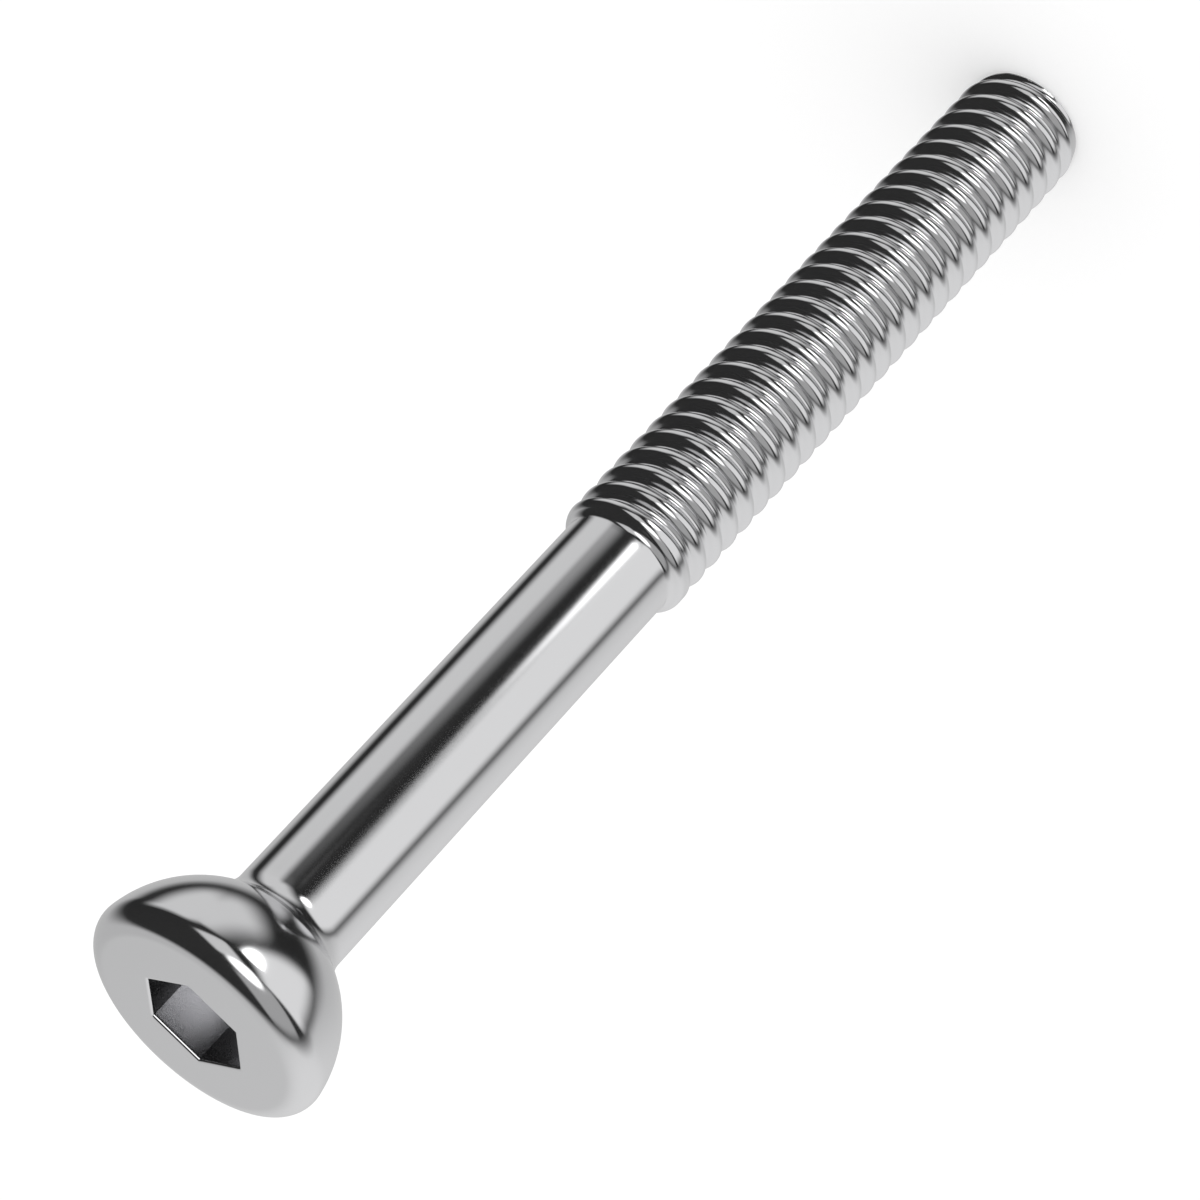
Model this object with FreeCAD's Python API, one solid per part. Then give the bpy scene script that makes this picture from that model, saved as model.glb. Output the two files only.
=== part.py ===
import FreeCAD, Part
import math
import os

# A domed-head bolt with a hexagon socket, forged and rolled from one piece of steel.
# It stands on its thread end: the origin is the centre of the tip's end face,
# +Z runs up the axis to the flat of the head, and a socket corner lies on +X.
# All sizes are in millimetres and all angles in degrees.

# Driving dimensions: the shaft and its threaded stretch
nominal_length = 63.5          # from the tip to the rim, where the head is widest
shank_dia = 5.47
thread_dia = 6.35              # over the crests of the thread
thread_length = 34.2           # from the tip to the end of the last crest
thread_angle = 60.0            # between the two flanks of the thread
shank_fillet_radius = 0.45     # hollow corner between the last flank and the shank
tip_face_dia = 5.84
tip_chamfer_length = 0.85

# Driving dimensions: the head
head_dia = 11.5
rim_radius = 1.05              # rounding between the flat of the head and its dome
dome_centre_depth = 0.36       # centre of the ball-shaped underside, below the flat
neck_radius = 1.5              # hollow curve from the dome into the shank

# Driving dimensions: the socket
socket_across_flats = 4.5
socket_depth = 3.5             # from the flat of the head to the flat floor
socket_edge_break = 0.12

# Sizes that follow from them
overall_length = nominal_length + rim_radius
shank_r = shank_dia / 2
thread_r = thread_dia / 2


def point(radius, height):
    """A point of the bolt's half section."""
    return FreeCAD.Vector(radius, 0, height)


def line(start, end):
    """A straight edge of the half section."""
    return Part.LineSegment(start, end).toShape()


def arc(centre, start, end):
    """A round edge of the half section, the short way from start to end about centre."""
    middle = (start - centre) + (end - centre)
    middle.normalize()
    return Part.Arc(start, centre + middle * (start - centre).Length, end).toShape()


def on_the_way(start, end, distance):
    """The point that lies at a distance from start, in the direction of end."""
    way = end - start
    return start + way * (distance / way.Length)


def threaded_edges():
    """The end face, the chamfer that leads into the nut, and the thread's outer envelope."""
    tip_middle = point(0, 0)
    tip_corner = point(tip_face_dia / 2, 0)
    first_crest = point(thread_r, tip_chamfer_length)
    last_crest = point(thread_r, thread_length)
    return [
        line(tip_middle, tip_corner),
        line(tip_corner, first_crest),
        line(first_crest, last_crest),
    ]


def shank_edges(neck_height):
    """The last flank of the thread, its fillet, and the plain shank from there up to the neck."""
    flank_lean = thread_angle / 2
    last_crest = point(thread_r, thread_length)
    corner = point(shank_r, thread_length + (thread_r - shank_r) * math.tan(math.radians(flank_lean)))
    fillet_reach = shank_fillet_radius * math.tan(math.radians((90 - flank_lean) / 2))
    fillet_start = on_the_way(corner, last_crest, fillet_reach)
    fillet_end = corner + point(0, fillet_reach)
    fillet_centre = fillet_end + point(shank_fillet_radius, 0)
    return [
        line(last_crest, fillet_start),
        arc(fillet_centre, fillet_start, fillet_end),
        line(fillet_end, point(shank_r, neck_height)),
    ]


def half_section():
    """The whole turned outline, from the end face round to the flat of the head."""
    face_r = head_dia / 2 - rim_radius
    rim_centre = point(face_r, overall_length - rim_radius)
    dome_centre = point(0, overall_length - dome_centre_depth)
    dome_radius = (rim_centre - dome_centre).Length + rim_radius

    neck_reach = shank_r + neck_radius
    neck_drop = math.sqrt((dome_radius + neck_radius)**2 - neck_reach**2)
    neck_centre = dome_centre + point(neck_reach, -neck_drop)

    neck_start = point(shank_r, neck_centre.z)
    dome_start = on_the_way(dome_centre, neck_centre, dome_radius)
    rim_start = on_the_way(dome_centre, rim_centre, dome_radius)
    face_edge = point(face_r, overall_length)
    face_middle = point(0, overall_length)

    edges = threaded_edges() + shank_edges(neck_centre.z)
    edges.append(arc(neck_centre, neck_start, dome_start))
    edges.append(arc(dome_centre, dome_start, rim_start))
    edges.append(arc(rim_centre, rim_start, face_edge))
    edges.append(line(face_edge, face_middle))
    edges.append(line(face_middle, point(0, 0)))
    return Part.Face(Part.Wire(edges))


def hexagon(across_flats, height):
    """A level hexagon on the axis, with a corner on +X."""
    corner_r = across_flats / 2 / math.cos(math.radians(30))
    corners = []
    for step in range(7):
        angle = math.radians(60 * step)
        corners.append(FreeCAD.Vector(corner_r * math.cos(angle), corner_r * math.sin(angle), height))
    return Part.makePolygon(corners)


def socket():
    """The hollow for the key: a hexagon with a broken edge and a flat floor."""
    floor = overall_length - socket_depth
    walls = Part.Face(hexagon(socket_across_flats, floor)).extrude(FreeCAD.Vector(0, 0, socket_depth))

    broken_edge = Part.makeLoft([
        hexagon(socket_across_flats, overall_length - socket_edge_break),
        hexagon(socket_across_flats + 2 * socket_edge_break, overall_length),
    ], True, True)
    return walls.fuse(broken_edge)


def bolt():
    """The finished bolt, turned about its axis and hollowed for the key."""
    turned = half_section().revolve(FreeCAD.Vector(0, 0, 0), FreeCAD.Vector(0, 0, 1), 360)
    return turned.cut(socket())


os.makedirs("parts", exist_ok=True)
bolt().exportStep("parts/bolt.step")
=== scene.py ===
import math

import bmesh
import bpy
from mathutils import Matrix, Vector


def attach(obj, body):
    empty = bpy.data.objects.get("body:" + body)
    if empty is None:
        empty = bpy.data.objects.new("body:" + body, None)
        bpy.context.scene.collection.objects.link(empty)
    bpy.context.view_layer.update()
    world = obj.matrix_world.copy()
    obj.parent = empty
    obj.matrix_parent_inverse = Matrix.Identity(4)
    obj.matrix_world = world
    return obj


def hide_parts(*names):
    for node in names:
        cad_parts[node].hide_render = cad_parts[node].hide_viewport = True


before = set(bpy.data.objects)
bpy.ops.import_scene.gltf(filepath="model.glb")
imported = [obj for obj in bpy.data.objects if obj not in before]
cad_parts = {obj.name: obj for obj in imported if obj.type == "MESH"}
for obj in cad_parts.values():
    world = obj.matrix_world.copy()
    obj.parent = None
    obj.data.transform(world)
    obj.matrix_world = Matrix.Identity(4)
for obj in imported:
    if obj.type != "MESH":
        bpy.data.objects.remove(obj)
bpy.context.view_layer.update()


# The head, neck and plain shank: forged from drawn steel wire. The head has a flat top, a
# rounded rim and a ball-shaped underside that runs into the shank through a hollow neck. A
# hexagon for the key is punched into its top, with a broken edge and a flat floor.

MM = 0.001
HEIGHT = 64.55 * MM
SHANK_R = 5.47 / 2 * MM
THREAD_R = 6.35 / 2 * MM
THREAD_END = 34.2 * MM
FLANK_LEAN = 60  # degrees between the bolt's axis and a flank of the thread
FLANK_RISE = math.tan(math.radians(FLANK_LEAN))
CREST_ROUND = 0.42 * MM
SHANK_FILLET = 0.45 * MM
RIM_R = 1.05 * MM
FACE_R = 11.5 / 2 * MM - RIM_R
DOME_CENTRE = HEIGHT - 0.36 * MM
NECK_R = 1.5 * MM
SOCKET_SIDES = 6
SOCKET_APOTHEM = 4.5 / 2 * MM
SOCKET_FLOOR = HEIGHT - 3.5 * MM
SOCKET_BREAK = 0.12 * MM

last_crest = (THREAD_R - CREST_ROUND, THREAD_END - CREST_ROUND / FLANK_RISE)
shank_corner = THREAD_END + (THREAD_R - SHANK_R) / FLANK_RISE
fillet_centre = (SHANK_R + SHANK_FILLET, shank_corner + SHANK_FILLET / FLANK_RISE)
rim_centre = (FACE_R, HEIGHT - RIM_R)
dome_r = math.dist(rim_centre, (0, DOME_CENTRE)) + RIM_R
neck_centre = (
    SHANK_R + NECK_R,
    DOME_CENTRE - math.sqrt((dome_r + NECK_R) ** 2 - (SHANK_R + NECK_R) ** 2),
)
neck_lean = math.degrees(math.atan2(DOME_CENTRE - neck_centre[1], -neck_centre[0]))
rim_lean = math.degrees(math.atan2(rim_centre[1] - DOME_CENTRE, rim_centre[0]))
edge_centre = (SOCKET_APOTHEM + SOCKET_BREAK, HEIGHT - SOCKET_BREAK)

half_section = []


def ring(radius, height, hexagon=0.0):
    """One ring of the turned outline; with hexagon 1 it is six-sided and radius is its apothem."""
    half_section.append((radius, height, hexagon))


def rounding(centre, radius, start, end, steps, hexagon=0.0):
    """The rings of a rounding, from one angle to the other, both kept."""
    for step in range(steps + 1):
        angle = math.radians(start + (end - start) * step / steps)
        ring(centre[0] + radius * math.cos(angle), centre[1] + radius * math.sin(angle), hexagon)


# From the last crest up to the flat of the head, and down into the socket. The single rings lie
# close to a rounding, so that its shading doesn't spread over the plain stretch beside it. The
# dome's own rings keep a little clear of the neck's and the rim's, which end on it.
DOME_CLEAR = 1.5
dome_start = neck_lean - 180 + DOME_CLEAR
dome_end = rim_lean - DOME_CLEAR
rounding(last_crest, CREST_ROUND, 0, FLANK_LEAN, 10)
rounding(fillet_centre, SHANK_FILLET, 180 + FLANK_LEAN, 180, 10)
ring(SHANK_R, fillet_centre[1] + 0.3 * MM)
ring(SHANK_R, neck_centre[1] - 0.4 * MM)
rounding(neck_centre, NECK_R, 180, neck_lean, 18)
rounding((0, DOME_CENTRE), dome_r, dome_start, dome_end, 30)
rounding(rim_centre, RIM_R, rim_lean, 90, 24)
ring(FACE_R - 0.06 * MM, HEIGHT)
ring(edge_centre[0] + 0.05 * MM, HEIGHT, hexagon=1)
rounding(edge_centre, SOCKET_BREAK, 90, 180, 6, hexagon=1)
ring(SOCKET_APOTHEM, edge_centre[1] - 0.1 * MM, hexagon=1)
ring(SOCKET_APOTHEM, SOCKET_FLOOR, hexagon=1)
ring(0, SOCKET_FLOOR)

section_mesh = bpy.data.meshes.new("bolt_half_section")
section_mesh.from_pydata(
    [(radius, 0, height) for radius, height, _ in half_section],
    [(k, k + 1) for k in range(len(half_section) - 1)],
    [],
)
sides = section_mesh.attributes.new("hexagon", "FLOAT", "POINT")
sides.data.foreach_set("value", [hexagon for _, _, hexagon in half_section])
bolt = bpy.data.objects.new("steel_bolt", section_mesh)
bpy.context.collection.objects.link(bolt)


# The thread: a right-hand helix, rolled into the same piece of steel at 20 turns per inch. Its
# flanks stand at 60 degrees, and its crests and roots are round, as the dies press them. It
# starts in the chamfer of the tip and runs out, ever shallower, just below the shank.

WELD = 0.001 * MM  # points closer than this are one
TIP_R = 5.84 / 2 * MM
TIP_CHAMFER = 0.85 * MM

thread = bpy.data.node_groups.new("turned_and_rolled_bolt", "GeometryNodeTree")
thread.interface.new_socket("Half section", in_out="INPUT", socket_type="NodeSocketGeometry")
sizes = {
    "Pitch": 1.27 * MM,
    "Crest radius": THREAD_R,
    "Crest rounding": CREST_ROUND,
    "Root rounding": 0.25 * MM,
    "First groove": 0.53 * MM,
    "Lead-in start": -0.3 * MM,
    "Lead-in end": 0.5 * MM,
    "Run-out start": 33.5 * MM,
    "Run-out end": 34.0 * MM,
    "Last crest": last_crest[1],
    "Last crest width": 0.3 * MM,
    "Tip radius": TIP_R,
    "Chamfer slope": (THREAD_R - TIP_R) / TIP_CHAMFER,
}
counts = {"Columns": 120, "Turns": 31, "Turns below the tip": 2}
sockets = {}
for name in sizes:
    sockets[name] = thread.interface.new_socket(name, in_out="INPUT", socket_type="NodeSocketFloat")
for name in counts:
    sockets[name] = thread.interface.new_socket(name, in_out="INPUT", socket_type="NodeSocketInt")
steel_input = thread.interface.new_socket("Steel", in_out="INPUT", socket_type="NodeSocketMaterial")
thread.interface.new_socket("Bolt", in_out="OUTPUT", socket_type="NodeSocketGeometry")
given = thread.nodes.new("NodeGroupInput").outputs
made = thread.nodes.new("NodeGroupOutput").inputs


def add(tree, kind, inputs, **settings):
    """A new node with its settings. Each input is linked to its source, or takes a plain value."""
    node = tree.nodes.new(kind)
    for name, value in settings.items():
        setattr(node, name, value)
    for name, source in inputs.items():
        if hasattr(source, "is_output"):
            tree.links.new(source, node.inputs[name])
        else:
            node.inputs[name].default_value = source
    return node


def calc(operation, *terms, tree=thread):
    """One sum in a tree of nodes."""
    return add(tree, "ShaderNodeMath", dict(enumerate(terms)), operation=operation).outputs[0]


def ease(value, none, full, tree=thread):
    """A share that grows softly from 0 at none to 1 at full, and stays there."""
    ends = {"Value": value, "From Min": none, "From Max": full}
    return add(tree, "ShaderNodeMapRange", ends, interpolation_type="SMOOTHSTEP").outputs["Result"]


def arch(radius, across):
    """How high a circle stands at a distance from its centre."""
    square = calc("SUBTRACT", calc("POWER", radius, 2.0), calc("POWER", across, 2.0))
    return calc("SQRT", calc("MAXIMUM", square, 0.0))


def pick(test, one, other):
    """One value where the test holds, and the other elsewhere."""
    return calc("MULTIPLY_ADD", test, calc("SUBTRACT", one, other), other)


def place(grid, turn, radius, height):
    """Moves a grid's points to a place round the axis: turn counts turns from +X."""
    angle = calc("MULTIPLY", turn, math.tau)
    x = calc("MULTIPLY", radius, calc("COSINE", angle))
    y = calc("MULTIPLY", radius, calc("SINE", angle))
    point = add(thread, "ShaderNodeCombineXYZ", {"X": x, "Y": y, "Z": height}).outputs[0]
    return add(thread, "GeometryNodeSetPosition", {"Geometry": grid, "Position": point}).outputs[0]


def rows_and_columns(columns, rows):
    """A grid, with the number of each point's column and its row."""
    counted = {"Vertices X": calc("ADD", columns, 1), "Vertices Y": rows}
    grid = add(thread, "GeometryNodeMeshGrid", counted)
    index = thread.nodes.new("GeometryNodeInputIndex").outputs[0]
    column = calc("FLOOR", calc("DIVIDE", calc("ADD", index, 0.5), rows))
    row = calc("SUBTRACT", index, calc("MULTIPLY", column, rows))
    return grid.outputs["Mesh"], column, row


# Where a groove's outline is sampled, in millimetres from its middle out to the middle of a crest.
# The root's rounding ends at 0.2165, and the crest's begins at 0.271, with the flank between them.
steps_out = [0.05, 0.10, 0.15, 0.19, 0.2165, 0.271, 0.32, 0.37, 0.42, 0.475, 0.53, 0.585, 0.635]
stations = [-step * MM for step in reversed(steps_out)] + [0.0] + [step * MM for step in steps_out]
station = thread.nodes.new("GeometryNodeIndexSwitch")
station.data_type = "FLOAT"
while len(station.index_switch_items) < len(stations):
    station.index_switch_items.new()
for number, offset in enumerate(stations):
    station.inputs[1 + number].default_value = offset

# A strip one pitch wide is wound up the bolt. It starts below the tip and ends above the last
# crest, and what lies beyond them is pressed flat at those two heights, and welded away.
columns = calc("MULTIPLY", given["Columns"], given["Turns"])
strip, column, row = rows_and_columns(columns, len(stations))
thread.links.new(row, station.inputs["Index"])
turn = calc("DIVIDE", column, given["Columns"])
climb = calc("MULTIPLY", calc("SUBTRACT", turn, given["Turns below the tip"]), given["Pitch"])
free_height = calc("ADD", calc("ADD", climb, given["First groove"]), station.outputs[0])
height = calc("MINIMUM", calc("MAXIMUM", free_height, 0.0), given["Last crest"])

# The groove at this height: how far off its middle is, and what share of its depth is cut here
above_first = calc("SUBTRACT", height, given["First groove"])
grooves = calc("SUBTRACT", calc("DIVIDE", above_first, given["Pitch"]), turn)
beside = calc("MULTIPLY", calc("SUBTRACT", grooves, calc("ROUND", grooves)), given["Pitch"])
off_middle = calc("ABSOLUTE", beside)
middle = calc("SUBTRACT", height, beside)
lead_in = ease(middle, given["Lead-in start"], given["Lead-in end"])
run_out = ease(middle, given["Run-out end"], given["Run-out start"])
under_crest = calc("SUBTRACT", given["Last crest"], height)
closing = ease(under_crest, 0.0, given["Last crest width"])
share = calc("MULTIPLY", calc("MULTIPLY", lead_in, run_out), closing)

# How far the groove cuts in here: a straight flank between a round crest and a round root
bend_reach = math.sin(math.radians(FLANK_LEAN))
bend_depth = 1 - math.cos(math.radians(FLANK_LEAN))
off_crest = calc("SUBTRACT", calc("MULTIPLY", given["Pitch"], 0.5), off_middle)
crest_bend = calc("MULTIPLY", given["Crest rounding"], bend_reach)
root_bend = calc("MULTIPLY", given["Root rounding"], bend_reach)
roundings = calc("ADD", given["Crest rounding"], given["Root rounding"])
full_depth = calc("SUBTRACT", calc("MULTIPLY", given["Pitch"], bend_reach), roundings)
on_flank = calc("MULTIPLY", calc("SUBTRACT", off_crest, crest_bend), FLANK_RISE)
flank_depth = calc("ADD", calc("MULTIPLY", given["Crest rounding"], bend_depth), on_flank)
crest_depth = calc("SUBTRACT", given["Crest rounding"], arch(given["Crest rounding"], off_crest))
root_rise = calc("SUBTRACT", given["Root rounding"], arch(given["Root rounding"], off_middle))
root_depth = calc("SUBTRACT", full_depth, root_rise)
depth = pick(calc("LESS_THAN", off_crest, crest_bend), crest_depth, flank_depth)
depth = pick(calc("LESS_THAN", off_middle, root_bend), root_depth, depth)
grooved = calc("SUBTRACT", given["Crest radius"], calc("MULTIPLY", depth, share))

# The blank that it is rolled into has a chamfered tip
chamfer = calc("ADD", given["Tip radius"], calc("MULTIPLY", height, given["Chamfer slope"]))
threaded = place(strip, turn, calc("MINIMUM", grooved, chamfer), height)

# The end face closes the tip: its open edge is drawn in to the axis
position = thread.nodes.new("GeometryNodeInputPosition").outputs[0]
level = add(thread, "ShaderNodeSeparateXYZ", {0: position}).outputs["Z"]
faces_beside = thread.nodes.new("GeometryNodeInputMeshEdgeNeighbors").outputs[0]
open_edge = calc("COMPARE", faces_beside, 1.0, 0.1)
welded = add(thread, "GeometryNodeMergeByDistance", {"Geometry": threaded, "Distance": WELD})
tip_edge = {
    "Mesh": welded.outputs[0],
    "Selection": calc("MULTIPLY", open_edge, calc("LESS_THAN", level, WELD)),
    "Offset Scale": 0.0,
}
end_face = add(thread, "GeometryNodeExtrudeMesh", tip_edge, mode="EDGES")
drawn_in = {
    "Geometry": end_face.outputs["Mesh"],
    "Selection": end_face.outputs["Top"],
    "Position": thread.nodes.new("ShaderNodeCombineXYZ").outputs[0],
}
closed_thread = add(thread, "GeometryNodeSetPosition", drawn_in).outputs[0]

# The head and shank: the half section, carried round the axis
outline = given["Half section"]
rings = add(thread, "GeometryNodeAttributeDomainSize", {"Geometry": outline}).outputs["Point Count"]
turned, spoke, ring_number = rows_and_columns(given["Columns"], rings)


def at_ring(value, data_type):
    """What the half section says at this point's ring."""
    asked = {"Geometry": outline, "Value": value, "Index": ring_number}
    return add(thread, "GeometryNodeSampleIndex", asked, data_type=data_type).outputs[0]


ring_place = add(thread, "ShaderNodeSeparateXYZ", {0: at_ring(position, "FLOAT_VECTOR")}).outputs
named = add(thread, "GeometryNodeInputNamedAttribute", {"Name": "hexagon"}, data_type="FLOAT")
six_sided = at_ring(named.outputs["Attribute"], "FLOAT")
head_turn = calc("DIVIDE", spoke, given["Columns"])
side = calc("FLOORED_MODULO", calc("MULTIPLY", head_turn, SOCKET_SIDES), 1.0)
off_flat = calc("MULTIPLY", calc("SUBTRACT", side, 0.5), math.tau / SOCKET_SIDES)
to_corner = calc("DIVIDE", 1.0, calc("COSINE", off_flat))
out_of_round = calc("MULTIPLY", calc("SUBTRACT", to_corner, 1.0), six_sided)
head_radius = calc("MULTIPLY", ring_place["X"], calc("ADD", out_of_round, 1.0))
head = place(turned, head_turn, head_radius, ring_place["Z"])

together = thread.nodes.new("GeometryNodeJoinGeometry")
for stretch in (closed_thread, head):
    thread.links.new(stretch, together.inputs[0])
whole = {"Geometry": together.outputs[0], "Distance": WELD}
joined = add(thread, "GeometryNodeMergeByDistance", whole).outputs[0]
real = add(thread, "GeometryNodeRealizeInstances", {"Geometry": joined}).outputs[0]
plated = {"Geometry": real, "Material": given["Steel"]}
thread.links.new(add(thread, "GeometryNodeSetMaterial", plated).outputs[0], made["Bolt"])


# Its finish: bright zinc plating on smooth steel, satin enough to soften what it mirrors.

steel = bpy.data.materials.new("plated_steel")
steel.use_nodes = True
plating = steel.node_tree
shader = plating.nodes["Principled BSDF"]
shader.inputs["Metallic"].default_value = 1.0
on_bolt = plating.nodes.new("ShaderNodeTexCoord").outputs["Object"]

cloud = add(plating, "ShaderNodeTexNoise", {"Vector": on_bolt, "Scale": 260, "Detail": 4})
tones = {
    "Factor": cloud.outputs["Fac"],
    "A": (0.735, 0.735, 0.745, 1),
    "B": (0.745, 0.745, 0.755, 1),
}
tone = add(plating, "ShaderNodeMix", tones, data_type="RGBA")
plating.links.new(tone.outputs["Result"], shader.inputs["Base Color"])

grain = add(plating, "ShaderNodeTexNoise", {"Vector": on_bolt, "Scale": 4000, "Detail": 3})
satin = {"Value": grain.outputs["Fac"], "To Min": 0.11, "To Max": 0.14}
gloss = add(plating, "ShaderNodeMapRange", satin).outputs["Result"]


def measure(operation, *terms):
    """One sum of the finish."""
    return calc(operation, *terms, tree=plating)


# The punch leaves the socket's walls dull
SOCKET_DULLNESS = 0.04
x, y, z = add(plating, "ShaderNodeSeparateXYZ", {0: on_bolt}).outputs
socket_corner = SOCKET_APOTHEM / math.cos(math.pi / SOCKET_SIDES)
off_axis = measure("SQRT", measure("ADD", measure("POWER", x, 2.0), measure("POWER", y, 2.0)))
inside_corners = measure("LESS_THAN", off_axis, socket_corner + 0.02 * MM)
above_floor = measure("GREATER_THAN", z, SOCKET_FLOOR - 0.1 * MM)
below_edge = measure("LESS_THAN", z, HEIGHT - SOCKET_BREAK)
in_socket = measure("MULTIPLY", measure("MULTIPLY", inside_corners, above_floor), below_edge)
roughness = measure("ADD", gloss, measure("MULTIPLY", in_socket, SOCKET_DULLNESS))
plating.links.new(roughness, shader.inputs["Roughness"])

bolt_rule = bolt.modifiers.new("bolt_rule", "NODES")
bolt_rule.node_group = thread
for name, value in {**sizes, **counts}.items():
    bolt_rule[sockets[name].identifier] = value
bolt_rule[steel_input.identifier] = steel

seen = bpy.context.evaluated_depsgraph_get()
bolt_mesh = bpy.data.meshes.new_from_object(bolt.evaluated_get(seen))
bolt.modifiers.remove(bolt_rule)
bolt.data = bolt_mesh
shell = bmesh.new()
shell.from_mesh(bolt_mesh)
bmesh.ops.recalc_face_normals(shell, faces=shell.faces)
shell.to_mesh(bolt_mesh)
shell.free()
bolt_mesh.shade_smooth()
bolt_mesh.set_sharp_from_angle(angle=math.radians(32))

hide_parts("bolt")
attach(bolt, "root")


# The floor: a plain white table that the bolt stands on. It has a little light of its own, so
# that it stays white, and keeps the bolt's shadow. The steel mirrors the studio, not the table.

floor_mesh = bpy.data.meshes.new("white_table")
table_top = bmesh.new()
bmesh.ops.create_circle(table_top, cap_ends=True, segments=96, radius=2.5)
bmesh.ops.translate(table_top, verts=table_top.verts, vec=(0, 0, -0.02 * MM))
table_top.to_mesh(floor_mesh)
table_top.free()
floor = bpy.data.objects.new("white_table", floor_mesh)
bpy.context.collection.objects.link(floor)
white = bpy.data.materials.new("white_table")
white.use_nodes = True
paint = white.node_tree.nodes["Principled BSDF"]
paint.inputs["Base Color"].default_value = (0.82, 0.82, 0.82, 1)
paint.inputs["Roughness"].default_value = 1.0
paint.inputs["Specular IOR Level"].default_value = 0.0
paint.inputs["Emission Color"].default_value = (1, 1, 1, 1)
paint.inputs["Emission Strength"].default_value = 0.25
floor_mesh.materials.append(white)
floor.visible_glossy = False


# The studio: white all round. The steel mirrors soft white panels, two round lamps and the dark
# between them, which give it its light and dark bands. A direction is a compass bearing from +Y
# over +X, and a height above the horizon, both in degrees.

DARK = 0.026  # what the steel mirrors between the panels
LAMP_BLUR = 0.23  # how far a lamp's soft edge reaches to either side, as a share of its radius
ROOM_LIGHT = 0.8  # what the white all round gives to surfaces that don't mirror it

studio = bpy.data.worlds.new("studio")
bpy.context.scene.world = studio
studio.use_nodes = True
air = studio.node_tree
sky = air.nodes["Background"]
sight = air.nodes.new("ShaderNodeTexCoord").outputs["Object"]


def shade(operation, *terms):
    """One sum of the studio's light."""
    return calc(operation, *terms, tree=air)


def bearing(azimuth, elevation):
    """The direction that lies that way."""
    a, e = math.radians(azimuth), math.radians(elevation)
    return Vector((math.sin(a) * math.cos(e), math.cos(a) * math.cos(e), math.sin(e)))


def along(direction):
    """How far the sight line runs along a direction."""
    both = {0: sight, 1: direction}
    return add(air, "ShaderNodeVectorMath", both, operation="DOT_PRODUCT").outputs["Value"]


def panel(azimuth, elevation, half_width, half_height, lean, brightness, side_edge=4, top_edge=4):
    """A flat panel that faces the bolt. Its half sizes and soft edge are angles from the bolt."""
    middle = bearing(azimuth, elevation)
    level = bearing(azimuth + 90, 0)
    rising = level.cross(middle)
    tilt = math.radians(lean)
    across = level * math.cos(tilt) + rising * math.sin(tilt)
    upward = rising * math.cos(tilt) - level * math.sin(tilt)
    for side, half, edge in (
        (across, half_width, side_edge),
        (upward, half_height, top_edge),
    ):
        angle = shade("ARCTAN2", shade("ABSOLUTE", along(side)), along(middle))
        inside = ease(angle, math.radians(half + edge), math.radians(half - edge), air)
        brightness = shade("MULTIPLY", brightness, inside)
    return brightness


def lamp(azimuth, elevation, radius, brightness):
    """A round lamp. Its radius is an angle from the bolt, and its edge is soft."""
    angle = shade("ARCCOSINE", along(bearing(azimuth, elevation)))
    outer, inner = radius * (1 + LAMP_BLUR), radius * (1 - LAMP_BLUR)
    inside = ease(angle, math.radians(outer), math.radians(inner), air)
    return shade("MULTIPLY", brightness, inside)


# The wide wall glows brighter towards one side. All are listed by their bearing.
glow = ease(along(bearing(-60, 9)), 0.33, 1.0, air)
wall_light = shade("ADD", 0.56, shade("MULTIPLY", glow, 0.29))
lights = [
    panel(-146, -35, 29, 29, -12, 0.90, 10, 6),
    panel(-144, 34, 29, 29, 16, 0.43, 10),
    panel(-29, 0, 72, 71, 0, wall_light, 15, 13),
    panel(94.5, -42.3, 22, 23.6, 0, 0.74, 10, 10),
    panel(111.5, -55, 21.5, 22.7, 1, 0.74, 14, 10),
    panel(150.5, 1, 18.5, 18, 46, 0.70),
    lamp(177.3, -41.4, 10, 2.9),
    lamp(179, 18, 18.4, 1.9),
]
mirrored = DARK
for light in lights:
    mirrored = shade("MAXIMUM", mirrored, light)

# Rays that the steel mirrors see the lights. All others see plain white, which is a little dimmer
# for those that only light a surface.
rays = air.nodes.new("ShaderNodeLightPath").outputs
mirror_rays = shade("ADD", rays["Is Glossy Ray"], rays["Is Transmission Ray"])
straight = shade("MINIMUM", shade("ADD", rays["Is Camera Ray"], mirror_rays), 1.0)
room = shade("ADD", shade("MULTIPLY", straight, 1 - ROOM_LIGHT), ROOM_LIGHT)
plain_white = shade("SUBTRACT", 1.0, mirror_rays)
seen_there = shade("ADD", shade("MULTIPLY", mirror_rays, mirrored), plain_white)
air.links.new(shade("MULTIPLY", room, seen_there), sky.inputs["Strength"])
sky.inputs["Color"].default_value = (1, 1, 1, 1)

overhead = bpy.data.lights.new("overhead_light", "SUN")
overhead.energy = 0.6
overhead.angle = math.radians(50)
sun = bpy.data.objects.new("overhead_light", overhead)
sun.rotation_euler = (math.radians(12), math.radians(-10), 0)
sun.visible_glossy = False
bpy.context.collection.objects.link(sun)


# The camera: close above the head, looking down along the bolt to its tip.

eye = bpy.data.cameras.new("camera")
eye.lens = 123.083
eye.sensor_width = 36
eye.clip_start = 0.005
eye.clip_end = 20
camera = bpy.data.objects.new("camera", eye)
camera.location = (9.447 * MM, -153.146 * MM, 131.866 * MM)
camera.rotation_euler = (math.radians(-49.8596), math.radians(35.0834), math.radians(-150.4215))
bpy.context.collection.objects.link(camera)
bpy.context.scene.camera = camera
bpy.context.scene.view_settings.view_transform = "Standard"
